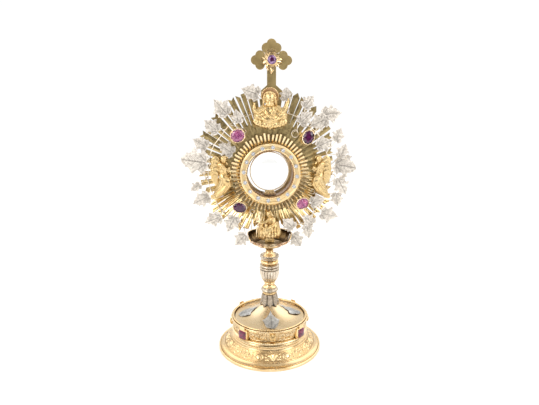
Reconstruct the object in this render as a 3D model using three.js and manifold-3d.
// Monstrance: a turned foot and stem carrying a glory of rays round a glazed chamber with a sliding luna.
// Millimetres, +Z up. The origin is the centre of the foot's underside, and the front faces -Y.
import * as THREE from 'three';
import { mergeVertices } from 'three/addons/utils/BufferGeometryUtils.js';
import Module from 'manifold-3d';

const wasm = await Module();
wasm.setup();

// Overall sizes
const gap = 0.3;                 // clearance left between neighbouring pieces
const footRadius = 103.5;
const footSegments = 32;
const stemSegments = 16;
const headSegments = 32;

// Foot and drum
const drumRadius = 75;            // the leaning wall's outside at the height of its stones
const drumBottom = 35.8;
const drumTop = 64.6;
const domeFoot = 63;
const domeRise = 24.5;
const domeOuter = 71;
const domeInner = 14;
const domeShell = 1.8;
const stoneHeight = 50.5;
const bossHeight = 53.5;
const drumStoneSize = 18.4;
const domeLeafAngles = [270, 0, 90, 180];

// Stem
const rodRadius = 3.3;
const rodHole = 3.6;
const rodBottom = 74.2;
const rodTop = 212.2;
const nutHeight = 79.2;
const washerBottom = 81.8;

// Chamber and luna
const sunHeight = 354;
const tubeInner = 44.2;
const tubeOuter = 46.2;
const tubeFront = -17.6;
const tubeBack = 22;
const glassThickness = 1.6;
const bezelOuter = 57;
const bezelInner = 43.4;
const bezelBack = -18;
const bezelFront = -24.5;
const pasteCount = 16;
const pasteCircle = 51;
const pasteStart = 85;
const lunaHeight = 357;
const lunaDepth = 2;
const lunaRadius = 37.6;
const railTop = 313.4;

// Rear door
const doorRadius = 49.5;
const doorOpening = 40.5;
const doorFront = 22.4;
const doorBack = 26;
const hingeX = 54;
const hingeY = 23;
const hingePinRadius = 1.2;
const knuckleRadius = 3;
const knuckleBore = 1.5;
const catchX = -55;

// Glory
const rayCount = 44;
const rayLengths = [157, 148, 137, 152, 143, 159, 134];
const rayWebRadius = 98;
const rayPlate = 1.2;
const rayBack = 0;
const pleatCount = 40;
const pleatInner = 58.5;
const vineRadius = 116;
const vineDepth = -5;
const vineReach = 165;
const leafStep = 1.7;            // alternate leaves stand this much further forward
const leafDepth = (order) => vineDepth - leafStep * (order % 2) - 0.4;

// Cross
const crossHeight = 561;
const crossArm = 26;
const crossTop = 598.6;
const crossShaft = 16.8;
const crossReach = 38;            // from the shaft's middle to the tip of a side arm
const crossLobe = 8.4;
const crossLobeSpread = 8;
const sideLobeReach = 21.5;
const topLobeHeight = 583;
const crossPlate = 2.4;
const crossBack = 4.3;
const crossX = 4;                 // the whole cross stands a little to the viewer's right

// ---------------------------------------------------------------- shared helpers

const degrees = (angle) => angle * Math.PI / 180;

function signedVolume(geometry) {
  const place = geometry.attributes.position;
  const index = geometry.index.array;
  const a = new THREE.Vector3();
  const b = new THREE.Vector3();
  const c = new THREE.Vector3();
  let total = 0;
  for (let i = 0; i < index.length; i += 3) {
    a.fromBufferAttribute(place, index[i]);
    b.fromBufferAttribute(place, index[i + 1]);
    c.fromBufferAttribute(place, index[i + 2]);
    total += a.dot(b.cross(c)) / 6;
  }
  return total;
}

// One closed surface: shared corners merged, collapsed triangles dropped, faces turned outwards.
function closed(source) {
  const bare = source.clone();
  bare.deleteAttribute('normal');
  bare.deleteAttribute('uv');
  const merged = mergeVertices(bare, 1e-4);
  const kept = [];
  const index = merged.index.array;
  for (let i = 0; i < index.length; i += 3) {
    const [a, b, c] = [index[i], index[i + 1], index[i + 2]];
    if (a !== b && b !== c && c !== a) kept.push(a, b, c);
  }
  merged.setIndex(kept);
  if (signedVolume(merged) < 0) merged.setIndex([...kept].reverse());
  return merged;
}

function toSolid(source) {
  const surface = closed(source);
  const vertProperties = new Float32Array(surface.attributes.position.array);
  const triVerts = new Uint32Array(surface.index.array);
  return new wasm.Manifold(new wasm.Mesh({ numProp: 3, vertProperties, triVerts }));
}

function toGeometry(solid) {
  const mesh = solid.getMesh();
  const geometry = new THREE.BufferGeometry();
  geometry.setAttribute('position', new THREE.BufferAttribute(mesh.vertProperties, 3));
  geometry.setIndex([...mesh.triVerts]);
  return geometry;
}

function joined(pieces) {
  return toGeometry(pieces.map(toSolid).reduce((sum, piece) => sum.add(piece)));
}

function cut(base, tools) {
  return toGeometry(tools.map(toSolid).reduce((rest, tool) => rest.subtract(tool), toSolid(base)));
}

// A profile of [radius, height] turned about Z.
function turned(profile, segments) {
  const points = profile.map(([r, z]) => new THREE.Vector2(r, z));
  return closed(new THREE.LatheGeometry(points, segments).rotateX(Math.PI / 2));
}

// A closed profile of [radius, y] turned about the chamber's axis, which runs along Y.
function ring(profile, height = sunHeight, segments = headSegments) {
  const points = [...profile, profile[0]].map(([r, y]) => new THREE.Vector2(r, y));
  return closed(new THREE.LatheGeometry(points, segments).translate(0, 0, height));
}

function disc(radius, front, back, height = sunHeight) {
  const middle = (front + back) / 2;
  const shape = new THREE.CylinderGeometry(radius, radius, back - front, headSegments);
  return shape.translate(0, middle, height);
}

// A stem piece: its outer outline from bottom to top, bored for the tie rod.
function bored(outline, segments = stemSegments) {
  const bottom = outline[0][1];
  const top = outline[outline.length - 1][1];
  return turned([[rodHole, bottom], ...outline, [rodHole, top], [rodHole, bottom]], segments);
}

function arc(radius, height, size, from, to, steps) {
  const points = [];
  for (let i = 0; i <= steps; i += 1) {
    const angle = degrees(from + (to - from) * i / steps);
    points.push([radius + size * Math.cos(angle), height + size * Math.sin(angle)]);
  }
  return points;
}

// A flat shape drawn in X and Z, with its back face at y = back.
function plate(shape, thickness, back, curveSegments = 8) {
  const options = { depth: thickness, bevelEnabled: false, curveSegments };
  return new THREE.ExtrudeGeometry(shape, options).rotateX(Math.PI / 2).translate(0, back, 0);
}

function box(low, high) {
  const size = high.map((value, i) => value - low[i]);
  const centre = high.map((value, i) => (value + low[i]) / 2);
  return new THREE.BoxGeometry(...size).translate(...centre);
}

function rod(start, end, radius, sides = 10) {
  const from = new THREE.Vector3(...start);
  const to = new THREE.Vector3(...end);
  const along = to.clone().sub(from);
  const shape = new THREE.CylinderGeometry(radius, radius, along.length(), sides);
  const turn = new THREE.Quaternion().setFromUnitVectors(new THREE.Vector3(0, 1, 0), along.normalize());
  const middle = from.add(to).multiplyScalar(0.5);
  return shape.applyQuaternion(turn).translate(middle.x, middle.y, middle.z);
}

// An ellipsoid that stands for one rounded mass of a cast figure.
function mass(centre, half, lean = 0) {
  const shape = new THREE.SphereGeometry(1, 8, 5).scale(...half);
  return shape.rotateY(degrees(lean)).translate(...centre);
}

function ellipse(halfWidth, halfHeight) {
  const shape = new THREE.Shape();
  shape.absellipse(0, 0, halfWidth, halfHeight, 0, 2 * Math.PI);
  return shape;
}

// ---------------------------------------------------------------- foot

function footPlate() {
  const outside = [[footRadius, 0], [footRadius, 4.6], [101.6, 6.2], [97, 7.4], [91.5, 10.6],
    [84.5, 17.4], [78.4, 24.4], [76.6, 27.4], [75.6, 31], [75, drumBottom - gap]];
  const inside = [[71.5, drumBottom - gap], [73, 30.5], [74.6, 26.4], [76.9, 23], [83, 16],
    [90, 9.2], [95.5, 5.4], [95.5, 0], [footRadius, 0]];
  return turned([...outside, ...inside], footSegments);
}

// The drum's wall leans outwards as it rises, from a moulding that sits on the foot.
const drumInside = [[70, drumBottom], [70.4, 42], [74.6, 63], [75, drumTop]];

function drumWall() {
  const outside = [[75.4, drumBottom], [76.3, 37.4], [76, 39], [74.2, 40.2], [72.4, 41.4],
    [76.6, 62.6], [77.2, drumTop]];
  return turned([...outside, ...[...drumInside].reverse(), outside[0]], footSegments);
}

function stoneBezel(angle) {
  const half = drumStoneSize / 2 + 1.2;
  const cup = cut(box([drumRadius - 3, -half, stoneHeight - half + 0.4], [80, half, stoneHeight + half]),
    [box([78, -half + 1, stoneHeight - half + 1.4], [81, half - 1, stoneHeight + half - 1])]);
  return cup.rotateZ(degrees(angle));
}

function drumBoss(angle) {
  const bulb = new THREE.SphereGeometry(1, 8, 6).scale(6, 7.4, 7.8).translate(drumRadius, 0, bossHeight);
  return bulb.rotateZ(degrees(angle));
}

function drumBand() {
  const bezels = [45, 135, 225, 315].map(stoneBezel);
  const bosses = [0, 90, 180, 270].map(drumBoss);
  const wall = joined([drumWall(), ...bezels, ...bosses]);
  const core = turned([[0, drumBottom], ...drumInside, [0, drumTop]], footSegments);
  return cut(wall, [core]);
}

function drumStone(angle) {
  const half = drumStoneSize / 2;
  const depth = 5;
  const shape = new THREE.CylinderGeometry(0.62 * half, half, depth, 4, 1).rotateY(Math.PI / 4);
  shape.scale(Math.SQRT2, 1, Math.SQRT2).rotateZ(-Math.PI / 2);
  return shape.translate(78 + gap + depth / 2, 0, stoneHeight + 0.2).rotateZ(degrees(angle));
}

function drumBead() {
  const section = arc(73.4, drumTop + 2, 1.7, 0, 360, 6);
  return turned(section, footSegments);
}

const domeSurface = (r) => domeFoot + domeRise * (1 - (r - domeInner) / (domeOuter - domeInner)) ** 1.7;

function footDome() {
  const rimRadius = domeOuter - 1.2;
  const steps = 6;
  const outside = [];
  for (let i = 0; i <= steps; i += 1) {
    const r = rimRadius + (domeInner - rimRadius) * i / steps;
    outside.push([r, domeSurface(r)]);
  }
  const inside = outside.map(([r, z]) => [r - 0.9, z - domeShell]).reverse();
  const top = domeFoot + domeRise;
  const profile = [...outside, [rodHole, top], [rodHole, top - domeShell], ...inside, outside[0]];
  return turned(profile, footSegments);
}

// A vine leaf on the dome: rows from stalk to tip, each with its half width.
const leafRows = [[0, 0.08], [0.1, 0.6], [0.26, 0.78], [0.42, 1], [0.62, 0.58], [1, 0.04]];

function leafSolid(place) {
  const positions = [];
  const index = [];
  const around = 6;
  for (const [along, width] of leafRows) {
    positions.push(...place(along, -width, 0), ...place(along, 0, 0), ...place(along, width, 0));
    positions.push(...place(along, width, 1), ...place(along, 0, 1), ...place(along, -width, 1));
  }
  for (let row = 0; row < leafRows.length - 1; row += 1) {
    for (let side = 0; side < around; side += 1) {
      const a = row * around + side;
      const b = row * around + (side + 1) % around;
      index.push(a, b, b + around, a, b + around, a + around);
    }
  }
  const last = (leafRows.length - 1) * around;
  index.push(0, 5, 1, 1, 5, 4, 1, 4, 2, 2, 4, 3);
  index.push(last, last + 1, last + 5, last + 1, last + 4, last + 5);
  index.push(last + 1, last + 2, last + 4, last + 2, last + 3, last + 4);
  const geometry = new THREE.BufferGeometry();
  geometry.setAttribute('position', new THREE.Float32BufferAttribute(positions, 3));
  geometry.setIndex(index);
  return closed(geometry);
}

function domeLeaf(angle) {
  const outer = 63.5;
  const length = 42;
  const halfWidth = 15.5;
  const place = (along, width, level) => {
    const r = outer - length * along;
    const turn = degrees(angle) + width * halfWidth / r;
    const lift = gap + 0.3 + level * 1.2;
    return [r * Math.cos(turn), r * Math.sin(turn), domeSurface(r) + lift];
  };
  return leafSolid(place);
}

function baseWasher() {
  return bored([[12, washerBottom], [12, washerBottom + 3.5]]);
}

function baseNut() {
  const hexagon = new THREE.CylinderGeometry(7.5, 7.5, 4.7, 6).rotateX(Math.PI / 2)
    .translate(0, 0, nutHeight);
  return cut(hexagon, [rod([0, 0, nutHeight - 5], [0, 0, nutHeight + 5], rodHole)]);
}

// ---------------------------------------------------------------- stem

function tieRod() {
  return rod([0, 0, rodBottom], [0, 0, rodTop], rodRadius);
}

function leafSleeve() {
  return turned([[19.2, 84.2], [18.6, 90], [16.5, 100], [15, 109.7], [rodHole, 109.7], [rodHole, 88.1],
    [14.3, 88.1], [17.5, 85.4], [19.2, 84.2]], stemSegments * 2);
}

function sleeveCollar() {
  return bored([[14.2, 110], ...arc(12.6, 112.2, 1.6, -60, 60, 2), [12.6, 114.5]]);
}

function lowerRing() {
  return bored([[13.6, 114.8], ...arc(13.4, 119, 4, -70, 70, 4), [13, 123.4]]);
}

function stemSpool() {
  const outline = [[13.6, 123.7], [13, 125.5], [10.6, 128.5], [9.8, 131], [11.2, 132.6],
    [11.2, 134.6], [10, 135.3]];
  return bored(outline);
}

function flutedVase() {
  const flutes = 20;
  const stations = [[0, 10.8], [0.2, 13.5], [0.6, 17.6], [0.86, 19.6], [1, 19.9]];
  const bottom = 135.6;
  const height = 25.9;
  const positions = [];
  const index = [];
  const perRing = flutes * 2;
  const rings = [];
  for (const [share, radius] of stations) rings.push([radius, bottom + height * share, 0.9]);
  const profile = [[rodHole, bottom, 0], ...rings, [rodHole, bottom + height, 0]];
  for (const [radius, z, depth] of profile) {
    for (let i = 0; i < perRing; i += 1) {
      const r = radius - (i % 2) * depth;
      const angle = 2 * Math.PI * i / perRing;
      positions.push(r * Math.cos(angle), r * Math.sin(angle), z);
    }
  }
  for (let level = 0; level < profile.length; level += 1) {
    const above = (level + 1) % profile.length;
    for (let i = 0; i < perRing; i += 1) {
      const next = (i + 1) % perRing;
      index.push(level * perRing + i, level * perRing + next, above * perRing + next);
      index.push(level * perRing + i, above * perRing + next, above * perRing + i);
    }
  }
  const geometry = new THREE.BufferGeometry();
  geometry.setAttribute('position', new THREE.Float32BufferAttribute(positions, 3));
  geometry.setIndex(index);
  return closed(geometry);
}

function vaseMoulding() {
  const lower = arc(18.1, 164.2, 2.2, -80, 80, 3);
  const upper = arc(17.7, 169, 2.5, -80, 80, 3);
  return bored([[18.6, 161.8], ...lower, ...upper, [17, 173.2]]);
}

function upperRing() {
  return bored([[15.4, 173.5], ...arc(14.7, 177.4, 3.6, -70, 70, 4), [15, 181.2]]);
}

function stemDish() {
  const outside = [[16.9, 181.5], [17.2, 184.6], [19, 186.5], [19.2, 190.3], [18, 191.2]];
  const inside = [[16.4, 190.6], [14.4, 186.5], [rodHole, 186], [rodHole, 181.5], [16.9, 181.5]];
  return turned([...outside, ...inside], stemSegments);
}

function neckCone() {
  const outline = [[13.6, 187], [13.3, 189.8], [10, 194], [7.8, 197], [7.2, 200],
    [7.8, 203], [10, 206], [14, 209.6]];
  return bored(outline);
}

function calyxPlate() {
  return bored([[14, 209.9], [24.8, 210.3], [25.6, 211.3], [25, 212.2]]);
}

// The bowl's front is cut down to its floor, so that the figures behind it can be seen.
function calyxCup() {
  const bowl = turned([[rodHole, 212.5], [20, 212.5], [30, 214.2], [37, 217.5], [41, 222.5],
    [43.4, 229], [44, 235], [42.2, 235], [41.6, 229.4], [39.4, 223.4], [35.9, 219],
    [29.4, 215.9], [20, 214.3], [rodHole, 214.3], [rodHole, 212.5]], stemSegments + 8);
  const frontCut = box([-50, -60, 215.2], [50, -3.4, 250]);
  return cut(bowl, [frontCut]);
}

// ---------------------------------------------------------------- head

function headBracket() {
  const foot = box([-9, 1, 214.6], [9, 7, 222]);
  const strap = box([-7, 1, 218], [7, 4.4, 300]);
  return joined([foot, strap]);
}

function polar(radius, angle) {
  return new THREE.Vector2(radius * Math.cos(degrees(angle)), sunHeight + radius * Math.sin(degrees(angle)));
}

// The rays are narrow strips that widen outwards from one web. They are shorter behind the two angels,
// above the calyx and below the cross.
function rayGlory() {
  const points = [];
  const pitch = 360 / rayCount;
  for (let i = 0; i < rayCount; i += 1) {
    const middle = i * pitch + 90;
    const sideways = Math.abs(Math.cos(degrees(middle))) > 0.97;
    const upright = Math.abs(Math.sin(degrees(middle))) > 0.93 + 0.055 * Math.sign(Math.sin(degrees(middle)));
    const reach = upright ? 110 : rayLengths[i % rayLengths.length] - (sideways ? 20 : 0);
    const root = pitch * 0.28;
    const tip = pitch * 0.33;
    points.push(polar(rayWebRadius, middle - root), polar(reach, middle - tip));
    points.push(polar(reach, middle + tip), polar(rayWebRadius, middle + root));
  }
  const shape = new THREE.Shape(points);
  const hole = new THREE.Path();
  hole.absarc(0, sunHeight, tubeOuter + 0.5, 0, 2 * Math.PI, true);
  shape.holes.push(hole);
  return plate(shape, rayPlate, rayBack, 12);
}

function pleatedRing() {
  const steps = pleatCount * 2;
  const positions = [];
  const index = [];
  const thickness = 1;
  for (let i = 0; i < steps; i += 1) {
    const angle = 2 * Math.PI * i / steps;
    const ridge = i % 2 === 0;
    const outer = ridge ? 74.5 : 71;
    const fold = ridge ? -2.2 : 1.2;
    const place = (r, y) => [r * Math.cos(angle), y, sunHeight + r * Math.sin(angle)];
    positions.push(...place(pleatInner, -13 + fold), ...place(outer, -9 + fold));
    positions.push(...place(outer, -9 + fold + thickness), ...place(pleatInner, -13 + fold + thickness));
  }
  for (let i = 0; i < steps; i += 1) {
    const a = i * 4;
    const b = ((i + 1) % steps) * 4;
    for (let side = 0; side < 4; side += 1) {
      const next = (side + 1) % 4;
      index.push(a + side, a + next, b + next, a + side, b + next, b + side);
    }
  }
  const geometry = new THREE.BufferGeometry();
  geometry.setAttribute('position', new THREE.Float32BufferAttribute(positions, 3));
  geometry.setIndex(index);
  return closed(geometry);
}

function frontBezel() {
  return ring([[bezelInner, bezelBack], [bezelInner, bezelFront + 1.5], [bezelInner + 2, bezelFront],
    [bezelOuter - 2.6, bezelFront], [bezelOuter, bezelFront + 2], [bezelOuter, bezelBack]]);
}

function pasteRing() {
  const section = [[49.6, -24.8], [49.6, -25.6], [52.4, -25.6], [52.4, -24.8]];
  const band = ring(section, sunHeight, pasteCount);
  const stones = [];
  for (let i = 0; i < pasteCount; i += 1) {
    const at = polar(pasteCircle, pasteStart + 360 * i / pasteCount);
    const stone = new THREE.CylinderGeometry(4.1, 2.4, 2.6, 6);
    stones.push(stone.translate(at.x, -26.1, at.y));
  }
  return joined([band, ...stones]);
}

function chamberTube() {
  const wall = ring([[tubeOuter, tubeFront], [tubeOuter, 19.5], [doorRadius, 19.5], [doorRadius, tubeBack],
    [tubeInner, tubeBack], [tubeInner, -13.5], [42.8, -13.5], [42.8, -15.2], [tubeInner, -15.2],
    [tubeInner, tubeFront]]);
  const arm = box([45.5, 16.5, sunHeight - 4.5], [hingeX, 21.5, sunHeight + 4.5]);
  const knuckle = rod([hingeX, hingeY, sunHeight - 4.5], [hingeX, hingeY, sunHeight + 4.5],
    knuckleRadius, 12);
  const lug = box([catchX - 3.5, 16, sunHeight - 5], [-45.5, 21.8, sunHeight + 5]);
  const post = rod([catchX, 18, sunHeight], [catchX, 30, sunHeight], 1.5);
  const bore = rod([hingeX, hingeY, sunHeight - 9], [hingeX, hingeY, sunHeight + 9], knuckleBore);
  return cut(joined([wall, arm, knuckle, lug, post]), [bore]);
}

function frontGlass() {
  return disc(43.9, -17.4, -17.4 + glassThickness);
}

function lunaRail() {
  const bed = box([-12, -9, 312], [12, 18.4, railTop]);
  const left = box([-12, -9, railTop - 0.5], [-10.9, 18.4, railTop + 2]);
  const right = box([10.9, -9, railTop - 0.5], [12, 18.4, railTop + 2]);
  return joined([bed, left, right]);
}

function lunaFrame() {
  const [front, back] = [lunaDepth - 3, lunaDepth + 3];
  const rim = ring([[lunaRadius, front], [lunaRadius, back], [36, back], [36, back - 0.6],
    [36.8, back - 0.6], [36.8, front + 0.6], [36, front + 0.6], [36, front]], lunaHeight);
  const foot = box([-10.5, lunaDepth - 4, railTop + gap], [10.5, lunaDepth + 4, lunaHeight - 37]);
  return joined([rim, foot]);
}

function lunaGlass(front) {
  return disc(36.5, lunaDepth + front, lunaDepth + front + 1.2, lunaHeight);
}

function rearDoor() {
  const frame = ring([[doorRadius, doorFront], [doorRadius, doorBack], [doorOpening, doorBack],
    [doorOpening, doorBack - 1], [43, doorBack - 1], [43, doorFront]]);
  const parts = [frame];
  for (const side of [-1, 1]) {
    const [near, far] = [sunHeight + side * 5, sunHeight + side * 11];
    parts.push(box([47, doorFront + 0.4, Math.min(near, far)],
      [hingeX, doorBack - 0.6, Math.max(near, far)]));
    parts.push(rod([hingeX, hingeY, near], [hingeX, hingeY, far], knuckleRadius, 12));
  }
  const bore = rod([hingeX, hingeY, sunHeight - 15], [hingeX, hingeY, sunHeight + 15], knuckleBore);
  return cut(joined(parts), [bore]);
}

function rearGlass() {
  return disc(42.6, 22.9, 24.6);
}

function hingePin() {
  const shank = rod([hingeX, hingeY, sunHeight - 12], [hingeX, hingeY, sunHeight + 12.4], hingePinRadius);
  const head = rod([hingeX, hingeY, sunHeight + 11.4], [hingeX, hingeY, sunHeight + 13.4], 2.4);
  return joined([shank, head]);
}

function doorCatch() {
  const bar = box([catchX - 2.5, 26.4, sunHeight - 9], [catchX + 2.5, 28.6, sunHeight + 9]);
  const bore = rod([catchX, 24, sunHeight], [catchX, 32, sunHeight], 1.8);
  return cut(bar, [bore]);
}

// ---------------------------------------------------------------- ornament

// An oval setting on a stalk, with the stone seated in its cup.
const headStones = [
  { name: 'upper_left', x: -60, z: 425, width: 29, height: 27, lean: 20 },
  { name: 'upper_right', x: 71, z: 422, width: 24, height: 28, lean: -20 },
  { name: 'lower_left', x: -58, z: 291, width: 28, height: 22, lean: -14 },
  { name: 'lower_right', x: 62, z: 297, width: 27, height: 23, lean: 30 },
];

function gemSetting({ x, z, width, height, lean }) {
  const cup = plate(ellipse(width / 2, height / 2), 6, -12);
  const seat = plate(ellipse(width / 2 - 1.6, height / 2 - 1.6), 6, -15.5);
  const stalk = rod([0, -13, 0], [0, -rayPlate - gap, 0], 2.2);
  return cut(joined([cup, stalk]), [seat]).rotateY(degrees(-lean)).translate(x, 0, z);
}

function gemStone({ x, z, width, height, lean }) {
  const inset = 2;
  const body = new THREE.CylinderGeometry(0.62, 1, 6, 12);
  body.scale(width / 2 - inset, 1, height / 2 - inset).rotateX(Math.PI);
  return body.translate(0, -18.9, 0).rotateY(degrees(-lean)).translate(x, 0, z);
}

// Both angels are built facing right and placed on either side; turn mirrors one of them.
function angel(centreX, side) {
  const at = (x, y, z) => [centreX + side * x, y, z];
  const robe = mass(at(5, -19, 334), [12, 7.5, 27], side * 12);
  const chest = mass(at(4, -20, 360), [11.5, 8, 15]);
  const head = mass(at(5, -22, 382), [7, 7.5, 8.8]);
  const wing = mass(at(-10, -16, 358), [7.2, 4, 33], side * 10);
  const hem = mass(at(-6, -18, 316), [9, 6, 13], side * 30);
  const arms = mass(at(13, -23, 366), [6, 5, 8], side * -30);
  const stud = rod(at(0, -18, 352), at(0, -rayPlate - gap, 352), 3);
  return joined([robe, chest, head, wing, hem, arms, stud]);
}

function upperGroup() {
  const clouds = mass([0, -20, 448], [30, 8, 11]);
  const rightCloud = mass([24, -18, 458], [13, 7, 13]);
  const leftCloud = mass([-22, -18, 457], [12, 7, 13]);
  const chest = mass([0, -20, 468], [20, 8, 18]);
  const head = mass([0, -22, 492], [11.5, 9, 13]);
  const rightArm = mass([25, -17, 474], [6, 5, 17], 24);
  const leftArm = mass([-25, -17, 471], [6, 5, 16], -26);
  const halo = disc(16, -13.4, -11, 496);
  const stud = rod([0, -18, 462], [0, -rayPlate - gap, 462], 4);
  return joined([clouds, rightCloud, leftCloud, chest, head, rightArm, leftArm, halo, stud]);
}

function lowerGroup() {
  const lap = mass([-2, -19, 240], [20, 9, 13]);
  const knees = mass([-12, -22, 251], [13, 7, 12], -20);
  const chest = mass([0, -18, 258], [14, 8, 16]);
  const head = mass([-3, -20, 276], [7.5, 8, 9]);
  const side = mass([13, -18, 252], [9, 7, 14], 16);
  const drape = mass([-20, -17, 262], [8, 6, 12], -34);
  const stud = rod([0, -16, 262], [0, -rayPlate - gap, 262], 3);
  return joined([lap, knees, chest, head, side, drape, stud]);
}

// A flat cross with three-lobed ends and a gabled foot.
function crossBody() {
  const half = crossShaft / 2;
  const foot = 440;
  const shaft = new THREE.Shape([new THREE.Vector2(-half, foot), new THREE.Vector2(half, foot),
    new THREE.Vector2(half, crossTop - 12), new THREE.Vector2(-half, crossTop - 12)]);
  const gable = new THREE.Shape([new THREE.Vector2(-20, 494), new THREE.Vector2(20, 494),
    new THREE.Vector2(20, 507), new THREE.Vector2(half, 517), new THREE.Vector2(-half, 517),
    new THREE.Vector2(-20, 507)]);
  const bar = new THREE.Shape([new THREE.Vector2(-crossArm, crossHeight - half),
    new THREE.Vector2(crossArm, crossHeight - half), new THREE.Vector2(crossArm, crossHeight + half),
    new THREE.Vector2(-crossArm, crossHeight + half)]);
  const pieces = [shaft, gable, bar].map((shape) => plate(shape, crossPlate, crossBack));
  const lobeAt = (x, z) => {
    const disk = new THREE.CylinderGeometry(crossLobe, crossLobe, crossPlate, 12);
    return disk.translate(x, crossBack - crossPlate / 2, z);
  };
  for (const side of [-1, 1]) {
    pieces.push(lobeAt(side * (crossReach - crossLobe), crossHeight));
    pieces.push(lobeAt(side * sideLobeReach, crossHeight + crossLobeSpread));
    pieces.push(lobeAt(side * sideLobeReach, crossHeight - crossLobeSpread));
    pieces.push(lobeAt(side * (crossLobeSpread + 0.6), topLobeHeight));
  }
  pieces.push(lobeAt(0, crossTop - crossLobe));
  return joined(pieces).translate(crossX, 0, 0);
}

function crossRosette() {
  const spikes = 12;
  const stud = (radius, front, back) => {
    return rod([crossX, front, crossHeight], [crossX, back, crossHeight], radius, 16);
  };
  const points = [];
  for (let i = 0; i < spikes * 2; i += 1) {
    const radius = i % 2 === 0 ? 17.5 : 11;
    const angle = Math.PI * i / spikes;
    points.push(new THREE.Vector2(crossX + radius * Math.cos(angle), crossHeight + radius * Math.sin(angle)));
  }
  const star = plate(new THREE.Shape(points), 1.6, crossBack - crossPlate - gap);
  const cup = stud(8.6, -4.6, 0.2);
  const seat = stud(7.4, -6, -2.4);
  return cut(joined([star, cup]), [seat]);
}

function crossGem() {
  const body = new THREE.CylinderGeometry(7.1, 4.2, 5, 12);
  return body.translate(crossX, -5.2, crossHeight);
}

// Vine leaves on wires: x and z of the leaf's middle, the way its tip points, and its length.
const leftLeaves = [
  [-33, 503, 161, 32], [-88, 474, 132, 34], [-60, 458, 100, 24], [-106, 441, 141, 30], [-80, 399, 146, 30],
  [-127, 410, 150, 28], [-139, 378, 172, 50], [-139, 330, 214, 20], [-128, 306, 206, 32],
  [-107, 267, 200, 32], [-73, 259, 243, 32], [-56, 226, 230, 30],
];
const rightLeaves = [
  [30, 499, 88, 24], [71, 485, 52, 26], [66, 456, 42, 30], [94, 450, 205, 32], [114, 465, 6, 34],
  [129, 424, 68, 26], [102, 409, 22, 30], [139, 394, 70, 26], [144, 367, -10, 42], [138, 331, -62, 34],
  [131, 304, -80, 26], [91, 299, 16, 28], [114, 272, -14, 34], [77, 261, 140, 26], [75, 240, -80, 26],
  [38, 254, 140, 28], [52, 223, -60, 30],
];

// The outline of a five-lobed leaf as [along, across], for the half on one side of its midrib.
const leafOutline = [[-0.4, 0.12], [-0.46, 0.3], [-0.2, 0.34], [-0.04, 0.5],
  [0.06, 0.26], [0.26, 0.3], [0.3, 0.14]];

function vineLeaf([x, z, pointing, length], order) {
  const mirrored = leafOutline.map(([along, across]) => [along, -across]).reverse();
  const outline = [...leafOutline, [0.52, 0], ...mirrored];
  const turn = degrees(pointing);
  const points = outline.map(([along, across]) => {
    const px = x + length * (along * Math.cos(turn) - across * Math.sin(turn));
    const pz = z + length * (along * Math.sin(turn) + across * Math.cos(turn));
    return new THREE.Vector2(Math.min(vineReach, Math.max(-vineReach, px)), pz);
  });
  return plate(new THREE.Shape(points), 1.2, leafDepth(order) + 0.6);
}

function vineSpray(leaves, from, to) {
  const wire = 0.9;
  const hoop = new THREE.Shape();
  hoop.absarc(0, sunHeight, vineRadius + wire, degrees(from), degrees(to), false);
  hoop.absarc(0, sunHeight, vineRadius - wire, degrees(to), degrees(from), true);
  const pieces = [plate(hoop, 2 * wire, vineDepth + wire, 8)];
  leaves.forEach((leaf, order) => {
    const [x, z] = leaf;
    const hold = polar(vineRadius, Math.atan2(z - sunHeight, x) * 180 / Math.PI);
    pieces.push(vineLeaf(leaf, order));
    pieces.push(rod([hold.x, vineDepth, hold.y], [x, leafDepth(order), z], wire, 4));
  });
  return joined(pieces);
}

// ---------------------------------------------------------------- assembly

const gilt = { color: 0xd4a860, roughness: 0.28, metalness: 1 };
const paleGilt = { color: 0xe0bd84, roughness: 0.34, metalness: 1 };
const bronzeGilt = { color: 0x8f7a48, roughness: 0.42, metalness: 1 };
const silver = { color: 0xcfc9c0, roughness: 0.4, metalness: 1 };
const steel = { color: 0x8c8a86, roughness: 0.5, metalness: 1 };
const clearGlass = { color: 0xf2f6f6, roughness: 0.04, metalness: 0, transparent: true, opacity: 0.3 };
const paste = { color: 0xf4f4f6, roughness: 0.05, metalness: 0 };
const amethyst = { color: 0x43103f, roughness: 0.08, metalness: 0 };
const rose = { color: 0xc65f9c, roughness: 0.08, metalness: 0 };
const garnet = { color: 0x6f1440, roughness: 0.1, metalness: 0 };

const monstrance = new THREE.Group();

function add(name, geometry, finish) {
  const mesh = new THREE.Mesh(geometry, new THREE.MeshStandardMaterial(finish));
  mesh.name = name;
  monstrance.add(mesh);
}

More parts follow.
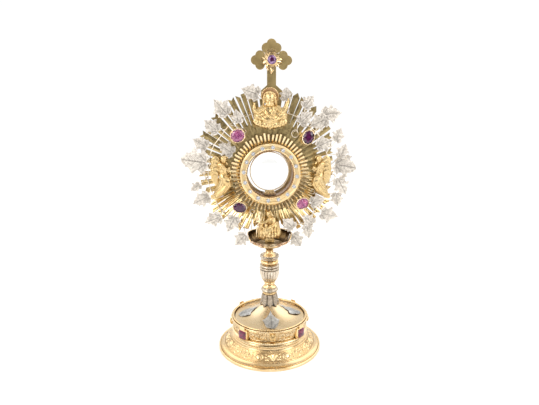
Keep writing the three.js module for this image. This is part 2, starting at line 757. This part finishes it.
add('foot_plate', footPlate(), gilt);
add('drum_band', drumBand(), gilt);
add('drum_bead', drumBead(), gilt);
add('foot_dome', footDome(), paleGilt);
domeLeafAngles.forEach((angle, i) => add(`dome_leaf_${i + 1}`, domeLeaf(angle), silver));
[45, 135, 225, 315].forEach((angle, i) => add(`drum_stone_${i + 1}`, drumStone(angle), garnet));
add('base_washer', baseWasher(), steel);
add('base_nut', baseNut(), steel);

add('tie_rod', tieRod(), steel);
add('leaf_sleeve', leafSleeve(), silver);
add('sleeve_collar', sleeveCollar(), gilt);
add('lower_ring', lowerRing(), silver);
add('stem_spool', stemSpool(), gilt);
add('fluted_vase', flutedVase(), paleGilt);
add('vase_moulding', vaseMoulding(), silver);
add('upper_ring', upperRing(), gilt);
add('stem_dish', stemDish(), silver);
add('neck_cone', neckCone(), gilt);
add('calyx_plate', calyxPlate(), gilt);
add('calyx_cup', calyxCup(), gilt);

add('head_bracket', headBracket(), bronzeGilt);
add('ray_glory', rayGlory(), bronzeGilt);
add('pleated_ring', pleatedRing(), gilt);
add('front_bezel', frontBezel(), gilt);
add('paste_ring', pasteRing(), paste);
add('chamber_tube', chamberTube(), bronzeGilt);
add('front_glass', frontGlass(), clearGlass);
add('luna_rail', lunaRail(), gilt);
add('luna_frame', lunaFrame(), gilt);
add('luna_glass_front', lunaGlass(-2.1), clearGlass);
add('luna_glass_back', lunaGlass(0.9), clearGlass);
add('rear_door', rearDoor(), gilt);
add('rear_glass', rearGlass(), clearGlass);
add('hinge_pin', hingePin(), steel);
add('door_catch', doorCatch(), gilt);

for (const stone of headStones) {
  add(`gem_setting_${stone.name}`, gemSetting(stone), gilt);
  const isRose = stone.name === 'upper_left' || stone.name === 'lower_right';
  add(`gem_${stone.name}`, gemStone(stone), isRose ? rose : amethyst);
}
add('angel_left', angel(-93, 1), gilt);
add('angel_right', angel(99, -1), gilt);
add('upper_group', upperGroup(), gilt);
add('lower_group', lowerGroup(), gilt);
add('cross', crossBody(), bronzeGilt);
add('cross_rosette', crossRosette(), gilt);
add('cross_gem', crossGem(), amethyst);
add('vine_left', vineSpray(leftLeaves, 99, 248), silver);
add('vine_right', vineSpray(rightLeaves, -74, 82), silver);

export default monstrance;
